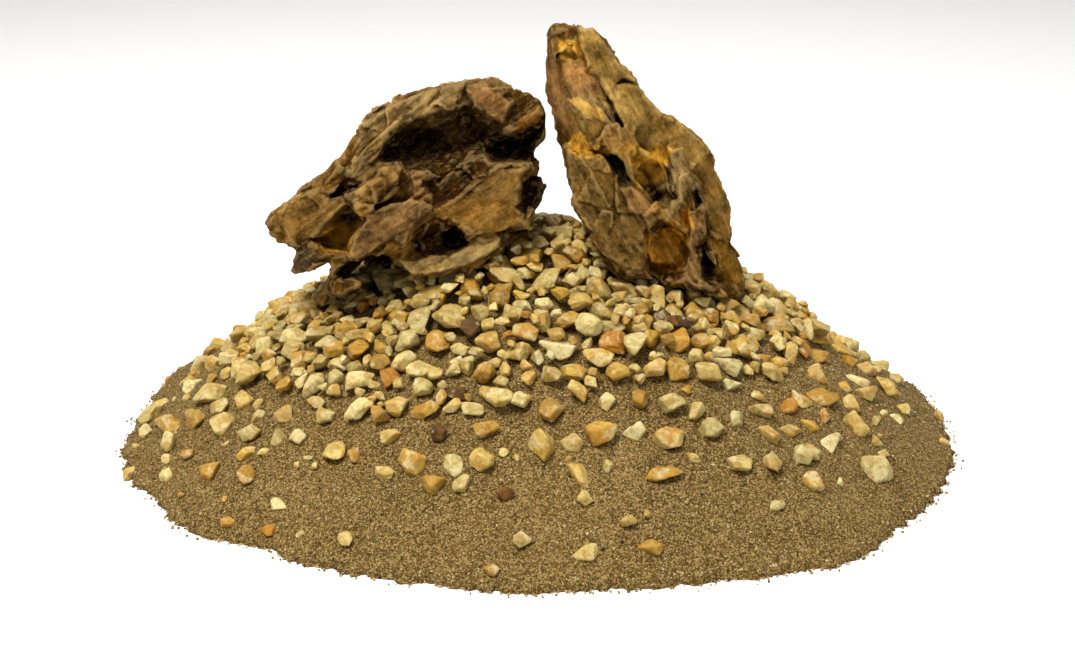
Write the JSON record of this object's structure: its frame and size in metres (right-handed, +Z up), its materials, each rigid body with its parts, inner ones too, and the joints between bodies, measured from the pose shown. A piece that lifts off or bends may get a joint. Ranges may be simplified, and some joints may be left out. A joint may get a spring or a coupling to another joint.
{
  "type": "aquarium stone arch on a gravel mound",
  "caption": "Aquarium hardscape: weathered stones leaning together into a swim-through arch with caves, on a sand mound crowned with quartz gravel.",
  "frame": {"origin": "on the mound's flat base, under the crown of the mound", "axes": "+X from the lower stone to the taller stone, +Y away from the side with the caves, +Z up"},
  "size_m": [0.2776, 0.2476, 0.139],
  "materials": {
    "sand": "fine tan sand with light and dark grains, matt",
    "gravel": "mixed cream, honey and white quartz gravel, semi-matt",
    "left_rock": "weathered clay-rich stone, ochre, pink and brown, matt with dark hollows",
    "right_rock": "weathered clay-rich stone, ochre, yellow, pink and grey, matt",
    "brown_stone": "brown sandstone, matt",
    "cream_quartz": "cream quartz, smooth, semi-matt",
    "dark_stone": "dark brown stone, matt",
    "grey_quartz": "translucent grey quartz, slightly glossy",
    "honey_quartz": "honey-coloured quartz, semi-matt",
    "ochre_stone": "ochre sandstone, matt",
    "orange_quartz": "orange iron-stained quartz, matt",
    "tan_quartz": "tan quartz with iron staining",
    "white_quartz": "translucent milky quartz, smooth and slightly glossy",
    "yellow_quartz": "yellow quartz, semi-matt"
  },
  "bodies": {
    "root": {"brown_pebble_01": "brown_stone", "cream_pebble_01": "cream_quartz", "cream_pebble_02": "cream_quartz", "cream_pebble_03": "cream_quartz", "cream_pebble_04": "cream_quartz", "cream_pebble_05": "cream_quartz", "cream_pebble_06": "cream_quartz", "cream_pebble_07": "cream_quartz", "cream_pebble_08": "cream_quartz", "cream_pebble_09": "cream_quartz", "dark_pebble_01": "dark_stone", "dark_pebble_02": "dark_stone", "dark_pebble_03": "dark_stone", "dark_pebble_04": "dark_stone", "gravel_bed": "gravel", "grey_pebble_01": "grey_quartz", "grey_pebble_02": "grey_quartz", "grey_pebble_03": "grey_quartz", "grey_pebble_04": "grey_quartz", "grey_pebble_05": "grey_quartz", "grey_pebble_06": "grey_quartz", "grey_pebble_07": "grey_quartz", "grey_pebble_08": "grey_quartz", "grey_pebble_09": "grey_quartz", "grey_pebble_10": "grey_quartz", "grey_pebble_11": "grey_quartz", "honey_pebble_01": "honey_quartz", "honey_pebble_02": "honey_quartz", "honey_pebble_03": "honey_quartz", "honey_pebble_04": "honey_quartz", "honey_pebble_05": "honey_quartz", "ochre_pebble_01": "ochre_stone", "ochre_pebble_02": "ochre_stone", "ochre_pebble_03": "ochre_stone", "ochre_pebble_04": "ochre_stone", "ochre_pebble_05": "ochre_stone", "ochre_pebble_06": "ochre_stone", "ochre_pebble_07": "ochre_stone", "ochre_pebble_08": "ochre_stone", "ochre_pebble_09": "ochre_stone", "orange_pebble_01": "orange_quartz", "sand_mound": "sand", "tan_pebble_01": "tan_quartz", "tan_pebble_02": "tan_quartz", "white_pebble_01": "white_quartz", "white_pebble_02": "white_quartz", "white_pebble_03": "white_quartz", "white_pebble_04": "white_quartz", "white_pebble_05": "white_quartz", "white_pebble_06": "white_quartz", "white_pebble_07": "white_quartz", "white_pebble_08": "white_quartz", "white_pebble_09": "white_quartz", "white_pebble_10": "white_quartz", "yellow_pebble_01": "yellow_quartz", "yellow_pebble_02": "yellow_quartz", "yellow_pebble_03": "yellow_quartz", "yellow_pebble_04": "yellow_quartz"},
    "left_rock": {"left_rock": "left_rock"},
    "right_rock": {"right_rock": "right_rock"}
  },
  "joints": [
    {"name": "left_rock_lift", "type": "slide", "parent": "root", "child": "left_rock", "axis": [-0.2924, 0, 0.9563], "range_m": [0, 0.1]},
    {"name": "right_rock_lift", "type": "slide", "parent": "root", "child": "right_rock", "axis": [0.2924, 0, 0.9563], "range_m": [0, 0.1]}
  ]
}
